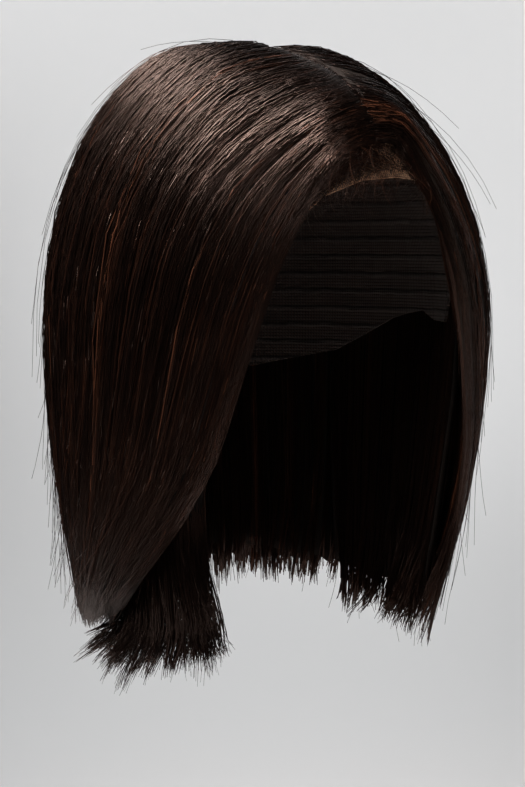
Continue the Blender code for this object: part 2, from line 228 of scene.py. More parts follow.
# Matt background paper: one soft grey, with a faint tooth that keeps it from looking like plastic.
paper, tree, shader = new_material("matt_background_paper")
shader.inputs["Base Color"].default_value = colour("#DADBDC")
shader.inputs["Roughness"].default_value = 0.95
shader.inputs["Specular IOR Level"].default_value = 0.1
place = add(tree, "ShaderNodeTexCoord")
tooth = add(tree, "ShaderNodeTexNoise", {"Scale": 900.0, "Detail": 2.0}, Vector=place.outputs["Object"])
bump = add(tree, "ShaderNodeBump", {"Strength": 0.05, "Distance": 0.0002}, Height=tooth.outputs["Fac"])
tree.links.new(bump.outputs["Normal"], shader.inputs["Normal"])
backdrop.data.materials.append(paper)
backdrop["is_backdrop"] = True

# Places and targets are across, back and up as the camera sees them, in metres. Cones are in degrees.
PaperSpot = namedtuple("PaperSpot", "place target cone watts")
PAPER_SPOTS = [
    PaperSpot((-0.85, 0.40, 0.40), (-0.24, 1.50, 0.60), 88, 48.0),
    PaperSpot((0.85, 0.40, 0.10), (0.22, 1.50, 0.22), 72, 38.0),
    PaperSpot((0.0, 0.70, 0.45), (-0.05, 1.05, -0.60), 96, 24.0),
]
spin = Matrix.Rotation(CAMERA_ROUND, 3, "Z")
for spot in PAPER_SPOTS:
    data = bpy.data.lights.new("paper_spot", "SPOT")
    data.energy = spot.watts
    data.spot_size = math.radians(spot.cone)
    data.spot_blend = 1.0
    data.shadow_soft_size = 0.15
    light = bpy.data.objects.new("paper_spot", data)
    scene.collection.objects.link(light)
    aim(light, spin @ Vector(spot.place), spin @ Vector(spot.target))
print("backdrop:", len(backdrop_mesh.polygons), "faces")

# %% [markdown]
# ## Two skins that carry the hair
#
# Every fibre lies between two surfaces: the cap below, and the outline of the dressed hair above. A place on either
# is an angle round the head, in degrees from the front, and a fall: 0 at the crown, 1 where the hair is widest and 2
# at the cut ends. The solids were shaped from the same sizes, so fibres that use them fill those solids exactly. The
# formulas work on whole arrays at once, because there are tens of thousands of points to place.

# %% Sizes of the head, the cap and the hair, in metres
HEAD_HALF_WIDTH = 0.076
HEAD_HALF_LENGTH = 0.096
HEAD_DOME = 0.105
DOME_ARC = math.pi / 2 * HEAD_DOME
CROWN_BEHIND_TOP = 0.020
CAP_WALL = 0.0012
LACE_WALL = 0.0010
LACE_WIDTH = 0.026
LACE_END_WIDTH = 0.009
LACE_NARROWS_ANGLE = 25.0
LACE_END_ANGLE = 60.0
CROWN_VOLUME = 0.0225
SIDE_VOLUME = 0.033
BACK_VOLUME = 0.039
FRONT_VOLUME = 0.0005
EDGE_VOLUME = 0.004
CROWN_SET_BACK = 0.025
WIDEST_DROP = 0.128
SIDE_LENGTH = 0.280
BACK_LENGTH = 0.276
UNDER_SIDE_LENGTH = 0.290
NAPE_LENGTH = 0.276
HAIR_SEAT = 0.0015
WEFT_SEAT = 0.0005
LAYER_GAP = 0.0018
SEAM_GAP = 0.0010
DOME_FULLNESS = 2.10
FLAT_ANGLES = (4, 52)
FLAT_FALLS = (0.05, 0.60)
SIDE_TO_BACK = (85, 165)
# Fall, and share of the width, of the hair's outer and inner side below its widest level.
OUTLINE = [(1.00, 1.000), (1.20, 0.986), (1.40, 0.964), (1.60, 0.924), (1.80, 0.865), (2.00, 0.792)]
INNER_OUTLINE = [(1.00, 1.000), (1.30, 0.960), (1.65, 0.860), (2.00, 0.740)]
# Angle and fall of the cap's edge.
CAP_RIM = [
    (0.0, 0.702), (15.0, 0.711), (30.0, 0.755), (45.0, 0.860), (60.0, 1.020), (70.0, 1.130),
    (80.0, 1.070), (95.0, 1.090), (120.0, 1.200), (150.0, 1.250), (180.0, 1.250),
]


# %% The skins
def smooth(value, low, high):
    """0 below low, 1 above high, and an even S between them."""
    share = np.clip((np.asarray(value, float) - low) / (high - low), 0, 1)
    return share * share * (3 - 2 * share)


def mix(start, end, share):
    return start + (end - start) * share


def in_table(rows, value):
    return np.interp(value, [row[0] for row in rows], [row[1] for row in rows])


def from_front(angle):
    turned = np.asarray(angle, float) % 360
    return np.minimum(turned, 360 - turned)


def dome_width(fall):
    return np.sin(np.radians(90 * np.minimum(fall, 1)))


def cap_skin(angle, fall, wall, length):
    """Points that lie wall outside the head, or on the inner side of the hanging hair."""
    turn = np.radians(angle)
    half_width = HEAD_HALF_WIDTH + wall
    half_length = HEAD_HALF_LENGTH + wall
    x = half_width * dome_width(fall) * np.sin(turn)
    y = CROWN_BEHIND_TOP * (1 - np.minimum(fall, 1)) ** 2 - half_length * dome_width(fall) * np.cos(turn)
    rise = np.sqrt(np.maximum(0, 1 - (x / half_width) ** 2 - (y / half_length) ** 2))
    on_dome = np.stack([x, y, -HEAD_DOME + (HEAD_DOME + wall) * rise], -1)
    z = mix(-HEAD_DOME, -length, fall - 1)
    level = 1 + (-HEAD_DOME - z) / (SIDE_LENGTH - HEAD_DOME)
    width = in_table(INNER_OUTLINE, level)
    hanging = np.stack([half_width * width * np.sin(turn), -half_length * width * np.cos(turn), z], -1)
    return np.where((fall <= 1)[..., None], on_dome, hanging)


def full_hair_skin(angle, fall, length):
    """The outline of the hair, as if it went all round the head."""
    turn = np.radians(angle)
    half_width = HEAD_HALF_WIDTH + SIDE_VOLUME
    half_length = HEAD_HALF_LENGTH + (BACK_VOLUME + FRONT_VOLUME) / 2
    upper = np.minimum(fall, 1)
    middle = (BACK_VOLUME - FRONT_VOLUME) / 2 + CROWN_SET_BACK * (1 - upper) ** 2
    height = np.maximum(np.cos(np.radians(90 * upper)), 0) ** (2 / DOME_FULLNESS)
    width = np.where(fall <= 1, dome_width(fall) ** (2 / DOME_FULLNESS), in_table(OUTLINE, fall))
    z_dome = CROWN_VOLUME - (CROWN_VOLUME + WIDEST_DROP) * (1 - height)
    z = np.where(fall <= 1, z_dome, mix(-WIDEST_DROP, -length, fall - 1))
    return np.stack([half_width * width * np.sin(turn), middle - half_length * width * np.cos(turn), z], -1)


def hair_skins(angle, fall, length, seat):
    """The inner side and the outline of the hair at these places. The outline comes down over the forehead."""
    inner = cap_skin(angle, fall, CAP_WALL + seat, length)
    outer = full_hair_skin(angle, fall, length)
    flat = cap_skin(angle, fall, CAP_WALL + seat + EDGE_VOLUME, length)
    raised = 1 - (1 - smooth(from_front(angle), *FLAT_ANGLES)) * smooth(fall, *FLAT_FALLS)
    return inner, mix(flat, outer, raised[..., None])


# %% [markdown]
# Each layer has a few guide strands, front to back, and all others lie between them. A guide is a list of steps of
# angle and fall. The wearer's right is swept back behind the ear, the left falls straight, and the back fans out from
# the crown. The shorter layers below are sewn on under these, and on the right their ends flick forward.

# %% Guide strands
def mirrored(steps):
    return [(-angle, fall) for angle, fall in steps]


BEHIND_EAR = [
    (-100, 0.008), (-116, 0.27), (-122, 0.57), (-124, 0.94), (-125, 1.27), (-125, 1.52), (-125, 1.75), (-125, 1.95),
]
RIGHT_SWEEP = [
    (0.00, [(0, 0.600), (-17, 0.635), (-33, 0.77), (-45, 0.98), (-51, 1.23), (-58, 1.46), (-78, 1.70), (-112, 1.94)]),
    (0.33, [(0, 0.37), (-30, 0.49), (-55, 0.70), (-66, 0.98), (-71, 1.25), (-78, 1.49), (-93, 1.73), (-116, 1.95)]),
    (0.66, [(0, 0.012), (-60, 0.27), (-86, 0.58), (-94, 0.94), (-97, 1.26), (-100, 1.51), (-108, 1.75), (-120, 1.96)]),
    (1.00, BEHIND_EAR),
]
LEFT_SWEEP = [
    (0.00, [(0, 0.600), (5, 0.63), (12, 0.79), (23, 1.01), (36, 1.27), (45, 1.52), (51, 1.76), (56, 2.04)]),
    (0.33, [(0, 0.37), (28, 0.47), (52, 0.69), (63, 0.98), (67, 1.26), (70, 1.51), (73, 1.76), (76, 2.02)]),
    (0.66, [(0, 0.012), (60, 0.27), (86, 0.58), (94, 0.94), (97, 1.26), (98, 1.51), (99, 1.75), (100, 1.98)]),
    (1.00, mirrored(BEHIND_EAR)),
]
BACK_FALL = [
    (0.00, mirrored(BEHIND_EAR)),
    (0.50, [(180, fall) for fall in (0.008, 0.27, 0.57, 0.94, 1.27, 1.52, 1.75, 1.97)]),
    (1.00, [(360 + angle, fall) for angle, fall in BEHIND_EAR]),
]
UNDER_RIGHT = [
    (0.00, [(-67, 1.02), (-69, 1.34), (-74, 1.65), (-66, 1.98)]),
    (0.50, [(-95, 1.02), (-95, 1.34), (-97, 1.66), (-94, 2.02)]),
    (1.00, [(-123, 1.02), (-123, 1.34), (-122, 1.66), (-120, 2.04)]),
]
UNDER_LEFT = [
    (0.00, [(60, 1.02), (60, 1.30), (60, 1.65), (58, 1.98)]),
    (1.00, [(122, 1.02), (122, 1.30), (119, 1.65), (114, 1.96)]),
]
NAPE_FALL = [
    (0.00, [(124, 1.02), (124, 1.30), (124, 1.62), (126, 1.92)]),
    (1.00, [(236, 1.02), (236, 1.30), (236, 1.62), (234, 1.92)]),
]

# A layer's node, guides, number of main locks, lengths at the side and the back, seat over the cap, and the depth of
# the grooves between its locks. Its kind is sweep or fan on top, and under below. curl is how far its ends turn in on
# top, or out below, at its first and last strand.
Layer = namedtuple("Layer", "node guides locks side back seat relief kind curl")
TOP = (SIDE_LENGTH, BACK_LENGTH, HAIR_SEAT, 0.0024)
BELOW = (UNDER_SIDE_LENGTH, NAPE_LENGTH, WEFT_SEAT, 0.0017)
LAYERS = {
    layer.node: layer
    for layer in [
        Layer("sweep_right", RIGHT_SWEEP, 12, *TOP, "sweep", (-0.12, -0.12)),
        Layer("sweep_left", LEFT_SWEEP, 12, *TOP, "sweep", (0.08, 0.08)),
        Layer("back_fall", BACK_FALL, 14, *TOP, "fan", (0.08, -0.12)),
        Layer("under_right", UNDER_RIGHT, 8, *BELOW, "under", (0.15, 0.60)),
        Layer("under_left", UNDER_LEFT, 8, *BELOW, "under", (0.05, 0.05)),
        Layer("nape_fall", NAPE_FALL, 10, *BELOW, "under", (0.05, 0.05)),
    ]
}
print("guides:", {name: len(layer.guides) for name, layer in LAYERS.items()})


# %% From a place in a layer to a point in space
def through(values, share):
    """A smooth curve through evenly spaced values, at shares of its length."""
    values = np.array([2 * values[0] - values[1], *values, 2 * values[-1] - values[-2]], float)
    last = len(values) - 3
    place = np.clip(share, 0, 1) * last
    k = np.minimum(place.astype(int), last - 1)
    part = place - k
    before, start, end, after = values[k], values[k + 1], values[k + 2], values[k + 3]
    square, cube = part**2, part**3
    return (
        (2 * cube - 3 * square + 1) * start
        + (cube - 2 * square + part) * (end - before) / 2
        + (3 * square - 2 * cube) * end
        + (cube - square) * (after - start) / 2
    )


def strand_place(guides, across, along):
    """Angle and fall of strands at places across a layer, at shares along them."""
    stops = np.array([stop for stop, _ in guides])
    first = np.clip(np.searchsorted(stops, across, side="right") - 1, 0, len(stops) - 2)
    share = (across - stops[first]) / (stops[first + 1] - stops[first])
    found = []
    for which in (0, 1):
        curves = np.stack([through([step[which] for step in steps], along) for _, steps in guides])
        front = np.take_along_axis(curves, first[None], 0)[0]
        back = np.take_along_axis(curves, (first + 1)[None], 0)[0]
        found.append(mix(front, back, share))
    return found


def ridge(across, locks):
    """1 along the middle of a lock and 0 in the groove between two."""
    return np.abs(np.sin(math.pi * across * locks)) ** 0.7


def depths(layer, across, along, fall):
    """The depths, as shares from the cap to the outline, between which a layer lies."""
    split = 0.52 * smooth(fall, 0.80, 1.50)
    at_tip = smooth(along, 0.80, 1.0)
    if layer.kind == "under":
        thick = np.minimum(split - LAYER_GAP / SIDE_VOLUME, 0.30)
        centre = thick / 2 + mix(*layer.curl, across) * smooth(along, 0.85, 1.0)
        thick = thick * mix(1.0, 0.35, at_tip)
    else:
        thick = (1 - split) * mix(0.55, 1.0, smooth(along, 0.0, 0.16))
        if layer.kind == "sweep":
            thick = thick * mix(0.30, 1.0, smooth(across, 0.0, 0.22))
        centre = split + thick / 2 - mix(*layer.curl, across) * at_tip
        thick = thick * mix(1.0, 0.35, at_tip)
    return centre - thick / 2, centre + thick / 2


def in_layer(layer, across, along, rise):
    """Points in a layer, and the way out from the head there. rise is 0 on its inner side and 1 on its outer side."""
    across, along, rise = np.broadcast_arrays(across, along, rise)
    locks = layer.locks
    in_lock = ridge(across, locks)
    uneven = ((np.minimum(across * locks, locks - 1).astype(int) * 7) % 5) / 5
    reach = along * (1 - 0.020 * (1 - in_lock) - 0.008 * uneven * in_lock)
    angle, fall = strand_place(layer.guides, across, reach)
    turn = 1 if layer.guides[-1][1][-1][0] > layer.guides[0][1][-1][0] else -1
    radius = HEAD_HALF_WIDTH * np.maximum(dome_width(fall), 0.05)
    angle = angle + turn * np.degrees(SEAM_GAP / 2 / radius) * (1 - 2 * smooth(across, 0.66, 1.0))
    length = mix(layer.side, layer.back, smooth(from_front(angle), *SIDE_TO_BACK))
    inner, outline = hair_skins(angle, fall, length, layer.seat)
    low, high = depths(layer, across, along, fall)
    points = mix(inner, outline, mix(low, high, rise)[..., None])
    deepest = smooth(along, 0.0, 0.5) * mix(1.0, 0.35, smooth(along, 0.5, 1.0))
    groove = layer.relief * (1 - in_lock) * deepest * np.clip(rise, 0, 1)
    points[..., 0] -= groove * np.sin(np.radians(angle))
    points[..., 1] += groove * np.cos(np.radians(angle))
    outward = outline - inner
    return points, outward / np.maximum(np.linalg.norm(outward, axis=-1, keepdims=True), 1e-9)


print("crown of the right sweep:", in_layer(LAYERS["sweep_right"], 0.66, 0.0, 1.0)[0].round(4))

# %% [markdown]
# ## The mass of the hair
#
# Under the fibres that catch the light lie thousands that are only seen as darkness. Each layer gets one closed body
# for them, a little inside the outer form. It starts as a flat grid, solidify gives it a thickness, and each of its
# points is then moved to its place between the skins. The grid keeps a UV map, so that its streaks run along the
# hair.

# %% The mass under the fibres
def bent(bm, places):
    """Moves a bmesh's points to where places says, from their own coordinates."""
    flat = np.array([vertex.co for vertex in bm.verts])
    for vertex, point in zip(bm.verts, places(flat)):
        vertex.co = point


def linked(name, mesh):
    piece = bpy.data.objects.new(name, mesh)
    scene.collection.objects.link(piece)
    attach(piece, "root")
    return piece


def hair_body(layer, columns, rows, sink, end):
    bm = bmesh.new()
    bmesh.ops.create_grid(bm, x_segments=columns, y_segments=rows, size=0.5, calc_uvs=True)
    bm.loops.layers.uv.verify()
    uv = bm.loops.layers.uv.active
    for face in bm.faces:
        for loop in face.loops:
            loop[uv].uv = (loop.vert.co.x + 0.5, loop.vert.co.y + 0.5)
    bmesh.ops.translate(bm, vec=(0.5, 0.5, 0.0), verts=bm.verts)
    bmesh.ops.solidify(bm, geom=bm.faces, thickness=1.0)
    lowest = min(vertex.co.z for vertex in bm.verts)
    bmesh.ops.translate(bm, vec=(0.0, 0.0, -lowest), verts=bm.verts)

    def places(flat):
        across = mix(0.008 if layer.kind == "sweep" else -0.010, 1.010, flat[:, 0])
        along = mix(0.010, end, flat[:, 1])
        return in_layer(layer, across, along, mix(sink, 1 - sink, flat[:, 2]))[0]

    bent(bm, places)
    bmesh.ops.recalc_face_normals(bm, faces=bm.faces)
    if bm.calc_volume(signed=True) < 0:
        bmesh.ops.reverse_faces(bm, faces=bm.faces)
    mesh = bpy.data.meshes.new(layer.node + "_mass")
    bm.to_mesh(mesh)
    bm.free()
    mesh.shade_smooth()
    mesh.uv_layers[0].name = "strand_map"
    piece = linked(layer.node + "_mass", mesh)
    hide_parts(layer.node)
    return piece


COLUMNS_A_LOCK = 4
MASS_ROWS = 24
MASS_SINK = 0.18  # how far below the layer's two sides it stays, as a share of the layer's depth
MASS_END = 0.93  # where along the strands it ends, so that only fibres show at the tips
MASS_ENDS = {"under_right": 0.70, "under_left": 0.84, "nape_fall": 0.88}
masses = [
    hair_body(layer, layer.locks * COLUMNS_A_LOCK, MASS_ROWS, MASS_SINK, MASS_ENDS.get(node, MASS_END))
    for node, layer in LAYERS.items()
]
print("mass:", {piece.name: len(piece.data.polygons) for piece in masses})

# %% [markdown]
# ## Fibres
#
# Modacrylic fibre is thinner than 0.1 mm, and a wig has some 100,000. Drawn at that size, most would fall between the
# pixels. Each hair here is about 0.5 mm thick and stands for a small bundle, which gives the same fine streaks at
# this scale. One hair is a three-sided prism: a cone shape with equal ends, cut into rings. An Array modifier repeats
# it, and arrays of numbers then bend every copy along its own strand. That is quick, and each hair stays a closed
# tube.

# %% A row of straight hairs
def straight_hairs(count, rings):
    """count three-sided prisms in a row, each with rings of three points, as one mesh."""
    bm = bmesh.new()
    bmesh.ops.create_cone(bm, cap_ends=True, segments=3, radius1=1.0, radius2=1.0, depth=1.0)
    bmesh.ops.translate(bm, vec=(0.0, 0.0, 0.5), verts=bm.verts)
    upright = [edge for edge in bm.edges if abs(edge.verts[0].co.z - edge.verts[1].co.z) > 0.5]
    bmesh.ops.subdivide_edges(bm, edges=upright, cuts=rings - 2)
    bmesh.ops.recalc_face_normals(bm, faces=bm.faces)
    uv = bm.loops.layers.uv.new("OFBake")
    for face in bm.faces:
        turns = [math.atan2(loop.vert.co.y, loop.vert.co.x) / (2 * math.pi) % 1 for loop in face.loops]
        wraps = max(turns) - min(turns) > 0.5
        for loop, round_share in zip(face.loops, turns):
            loop[uv].uv = (loop.vert.co.z, round_share + (1.0 if wraps and round_share < 0.5 else 0.0))
    mesh = bpy.data.meshes.new("one_hair")
    bm.to_mesh(mesh)
    bm.free()
    hair = bpy.data.objects.new("one_hair", mesh)
    scene.collection.objects.link(hair)
    row = hair.modifiers.new("row", "ARRAY")
    row.count = count
    row.use_relative_offset = False
    row.use_constant_offset = True
    row.constant_offset_displace = (4.0, 0.0, 0.0)
    bpy.context.view_layer.update()
    straight = bpy.data.meshes.new_from_object(hair.evaluated_get(bpy.context.evaluated_depsgraph_get()))
    bpy.data.objects.remove(hair)
    return straight


def read_points(mesh):
    points = np.empty(len(mesh.vertices) * 3, np.float32)
    mesh.vertices.foreach_get("co", points)
    return points.reshape(-1, 3).astype(float)


def unit(vectors):
    return vectors / np.maximum(np.linalg.norm(vectors, axis=-1, keepdims=True), 1e-12)


def hairs(name, centres, outward, radius, tone, stands_for):
    """One piece of many hairs. centres are (hair, ring, xyz), radius (hair, ring), and tone one number a hair."""
    count, rings = centres.shape[:2]
    mesh = straight_hairs(count, rings)
    points = read_points(mesh)
    number = np.rint(points[:, 0] / 4).astype(int)
    ring = np.rint(points[:, 2] * (rings - 1)).astype(int)
    forward = unit(np.gradient(centres, axis=1))
    sideways = unit(np.cross(forward, outward))
    up = np.cross(sideways, forward)
    thick = radius[number, ring][:, None]
    points = (
        centres[number, ring]
        + thick * (points[:, :1] - 4 * number[:, None]) * sideways[number, ring]
        + thick * points[:, 1:2] * up[number, ring]
    )
    mesh.vertices.foreach_set("co", points.astype(np.float32).ravel())
    shades = mesh.attributes.new("tone", "FLOAT", "POINT")
    shades.data.foreach_set("value", tone[number].astype(np.float32))
    # Each hair has a small cell of its own in the map named OFBake, in which its finish can be baked.
    cells = 12
    rows = math.ceil(count / cells)
    corners = np.empty(len(mesh.loops) * 2, np.float32)
    mesh.uv_layers["OFBake"].uv.foreach_get("vector", corners)
    corners = corners.reshape(-1, 2)
    owner = np.repeat(np.arange(count), len(mesh.loops) // count)
    corners[:, 0] = (owner % cells + 0.06 + 0.88 * corners[:, 0]) / cells
    corners[:, 1] = (owner // cells + 0.12 + 0.56 * corners[:, 1]) / rows
    mesh.uv_layers["OFBake"].uv.foreach_set("vector", corners.ravel())
    mesh.shade_smooth()
    mesh.update()
    mesh.name = name
    piece = linked(name, mesh)
    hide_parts(stands_for)
    return piece


# %% [markdown]
# Real hair isn't even. Fibres gather in small locks that narrow towards their ends, overlap one another and catch the
# light each in its own way, and a few cross the rest. So every hair belongs to a small lock, which gives it a
# drift, a wave and a shade, and it adds a little of its own. Some small locks are chestnut, which gives the
# streaks that run through the dark brown. At the parting the roots lie a little mixed, so that no line shows there.

# %% The layers of hairs
# Shares of a piece's hairs: outer lie near the layer's outer side, inner near its inner side, and edge along its
# first strands. gather is how narrow a small lock is at its end, and ragged how much of a strand its end may lack.
# first and last say how far the ends flick at the first and the last strand, in millimetres round the head (forward
# on the wearer's right, backward on the left), outward and up. apart is how much locks differ in it, and hook how far
# the very tips turn round the head and up.
Hairs = namedtuple("Hairs", "name node seed count locks thickness outer inner edge gather ragged first last apart hook")
PLAN = [
    Hairs(
        "sweep_right_hair", "sweep_right", 11, 1900, 110, 0.00054,
        0.84, 0.05, 0.06, 0.45, 0.06, (0, 0, -5), (0, 1, -6), 2.4, 0,
    ),
    Hairs(
        "sweep_right_top", "sweep_right", 12, 1440, 240, 0.00040,
        0.97, 0.00, 0.03, 0.55, 0.08, (0, 1, -5), (0, 2, -6), 2.6, 0,
    ),
    Hairs(
        "sweep_left_hair", "sweep_left", 13, 1360, 110, 0.00054,
        0.64, 0.22, 0.14, 0.40, 0.09, (-2, -16, 4), (0, 0, 0), 3.6, 2,
    ),
    Hairs(
        "back_fall_hair", "back_fall", 14, 1180, 130, 0.00064,
        0.80, 0.20, 0.00, 0.50, 0.07, (0, 0, 0), (0, 1, -6), 2.0, 0,
    ),
    Hairs(
        "under_right_hair", "under_right", 15, 1500, 36, 0.00042,
        0.50, 0.30, 0.16, 0.06, 0.05, (23, 2, 3), (0, 10, -8), 5.5, 9,
    ),
    Hairs(
        "under_left_hair", "under_left", 16, 700, 40, 0.00052,
        0.40, 0.45, 0.15, 0.20, 0.09, (2, -13, 6), (0, 0, 0), 3.5, 4,
    ),
    Hairs(
        "nape_fall_hair", "nape_fall", 17, 800, 60, 0.00060,
        0.35, 0.65, 0.00, 0.40, 0.08, (0, 0, 0), (0, 3, 0), 3.0, 0,
    ),
]
# Where along a strand its rings lie: closer together where it bends most. Under layers hang, and bend at their ends.
LONG_STRAND = [0, 0.012, 0.035, 0.075, 0.125, 0.18, 0.235, 0.295, 0.36, 0.44, 0.56, 0.70, 0.82, 0.91, 1]
SHORT_STRAND = [0, 0.03, 0.20, 0.42, 0.60, 0.74, 0.83, 0.90, 0.955, 1]
FLICK_FROM = {"sweep": 0.70, "fan": 0.76, "under": 0.60}  # where along a strand its flick starts
# How far hairs drift sideways, as shares of the layer's width: with their small lock, by themselves, and the few
# strays.
LOCK_WAVE = 0.0060
OWN_WAVE = 0.0026
STRAY_WAVE = 0.02
STRAYS = 0.04
# What shares of small locks are chestnut, on top and below, and the strip beside the face that is lighter still, partly
# chestnut streaks and partly a painted highlight where the light from the wearer's left falls: its place across the
# left side, its width and how much lighter it is.
CHESTNUT_LOCKS = 0.18
CHESTNUT_LOCKS_BELOW = 0.03
CHESTNUT_AND_HIGHLIGHT_STRIP = (0.17, 0.05, 0.32)


# %% [markdown]
# Neighbours differ in four ways: how far they drift sideways, how high they lie in their layer, which way their ends
# turn, and their shade. A modeller could comb each lock by hand with Blender's hair tools. Here each way is a short
# function over arrays with a row for each hair and a column for each ring, so that one plan makes thousands of hairs,
# and a change to a size of the wig moves them all.

# %% Drift and shade
def column(values):
    return np.asarray(values)[:, None]


def tones(rng, lock_of, locks, across, chestnut):
    """A shade for each hair, 0 dark to 1 chestnut, from its part of the layer, its small lock and itself."""
    broad = np.interp(across, np.linspace(0, 1, 30), rng.uniform(-0.10, 0.16, 30))
    of_lock = rng.beta(1.3, 3.4, locks)
    streaks = rng.random(locks) < chestnut
    of_lock[streaks] = rng.uniform(0.60, 0.95, streaks.sum())
    return np.clip(0.60 * of_lock[lock_of] + 0.40 * rng.beta(1.2, 2.8, len(lock_of)) + broad, 0, 1)


def waves(rng, count, slowest, fastest, along):
    """A slow wave along each hair, -1 to 1."""
    turns = along * column(rng.uniform(slowest, fastest, count)) + column(rng.uniform(0, 2, count))
    return column(rng.uniform(-1, 1, count)) * np.sin(math.pi * turns)


def lock_waves(rng, locks, lock_of, along):
    """The same for small locks, which all their hairs share."""
    height, turns, start = rng.uniform(-1, 1, locks), rng.uniform(1.2, 2.4, locks), rng.uniform(0, 2, locks)
    return column(height[lock_of]) * np.sin(math.pi * (along * column(turns[lock_of]) + column(start[lock_of])))


def uneven_rings(rng, places, count):
    """The places for each hair's rings, moved a little, so that the bends of neighbours don't line up."""
    places = np.array(places)
    room = np.minimum(places[1:-1] - places[:-2], places[2:] - places[1:-1])
    moved = np.tile(places, (count, 1))
    moved[:, 1:-1] += 0.42 * room * rng.uniform(-1, 1, (count, len(room)))
    return moved


# %% Where each hair lies
# For every hair: its small lock, the place of each lock across the layer, the shares along the strand of its rings,
# and the two waves there.
Strands = namedtuple("Strands", "lock_of middles along lock_wave own_wave")


def spread_across(plan, kind, rng, strands):
    """Each hair's place across its layer, ring by ring, and whether it is one of those at the edge."""
    count, along = plan.count, strands.along
    spread = column(rng.normal(0, 0.62 / plan.locks, count)) * mix(1.0, plan.gather, smooth(along, 0.25, 1.0))
    wave = OWN_WAVE + STRAY_WAVE * column(rng.random(count) < STRAYS)
    free = smooth(along, 0.0, 0.3) * mix(0.72, 1.3, smooth(along, 0.35, 0.90))
    drift = free * (LOCK_WAVE * strands.lock_wave + wave * strands.own_wave)
    across = column(strands.middles[strands.lock_of]) + spread + drift
    if kind != "under":
        across = across + column(rng.normal(0, 0.020, count)) * (1 - smooth(along, 0.0, 0.22))
    edge = rng.random(count) < plan.edge
    at_edge = column(np.abs(rng.normal(0, 0.012, count))) + 0.002 * strands.own_wave
    past = 0.012 * smooth(along, 0.3, 0.6)
    before = {"sweep": -0.001, "fan": past, "under": 0.012 + 0.03 * smooth(along, 0.4, 1.0)}[kind]
    across = np.where(column(edge), at_edge, across)
    return np.clip(across, -before, 1.0 + (before if kind == "under" else past)), edge


def rise_in_layer(plan, rng, strands, edge):
    """Each hair's height in its layer, ring by ring: 0 on its inner side and 1 on its outer side."""
    count, along = plan.count, strands.along
    kinds = rng.random(count)
    deep = rng.random(count) ** 1.6
    rise = np.where(kinds < plan.outer, 1.0 - 0.30 * deep, 0.25 + 0.45 * deep)
    rise = np.where(kinds > 1 - plan.inner, 0.16 * deep, rise)
    rise = np.where(edge, rng.random(count), rise)
    rise = column(rise) + smooth(along, 0.05, 0.35) * (0.05 * strands.lock_wave + 0.03 * strands.own_wave)
    at_root = column(rng.uniform(0.30, 0.90, count))
    risen = column(rng.uniform(0.04, 0.24, count))
    return rise * mix(at_root, 1.0, smooth(along, 0.0, risen))


def flicked(plan, kind, rng, strands, centres, outward):
    """The last few centimetres of each small lock flick its own way, and each hair's a little more or less."""
    count, along = plan.count, strands.along
    at_end = smooth(along, FLICK_FROM[kind], 1.02) ** (1.1 if kind == "under" else 1.6)
    out = outward[:, -1]
    up = np.array((0.0, 0.0, 1.0))
    ways = np.stack([np.cross(up, out), out, np.tile(up, (count, 1))], 1)
    of_lock = mix(np.array(plan.first), np.array(plan.last), column(strands.middles))
    of_lock = of_lock + plan.apart * rng.normal(0, 1, (plan.locks, 3)) * (1.0, 0.5, 0.5)
    of_hair = of_lock[strands.lock_of] * rng.uniform(0.6, 1.2, (count, 1))
    of_hair = of_hair + 0.12 * plan.apart * rng.normal(0, 1, (count, 3))
    centres = centres + at_end[..., None] * np.einsum("ck,ckx->cx", 0.001 * of_hair, ways)[:, None, :]
    hook = 0.001 * plan.hook * rng.normal(1.0, 0.7, plan.locks)[strands.lock_of]
    at_tip = smooth(along, 0.84, 1.01) ** 2 * column(hook)
    return centres + at_tip[..., None] * (0.8 * ways[:, 0] + 0.6 * ways[:, 2])[:, None, :]


def mixed_roots(plan, rng, strands, across, centres, outward):
    """Roots lie a little mixed, and in front those of the left side reach over the parting in low arches."""
    count, along = plan.count, strands.along
    reach_over = 0.0035 * np.exp(-((across[:, 0] / 0.30) ** 2)) if plan.node == "sweep_left" else 0.0
    astray = np.where(rng.random(count) < 0.10, 0.0045, 0.0013) * rng.normal(0, 1, count) - reach_over
    centres[..., 0] += column(astray) * (1 - smooth(along, 0.0, 0.13))
    arch = (0.0008 + 0.7 * reach_over) * rng.random(count) ** 0.7
    return centres + outward * (column(arch) * np.sin(math.pi * np.clip(along / 0.22, 0, 1)))[..., None]


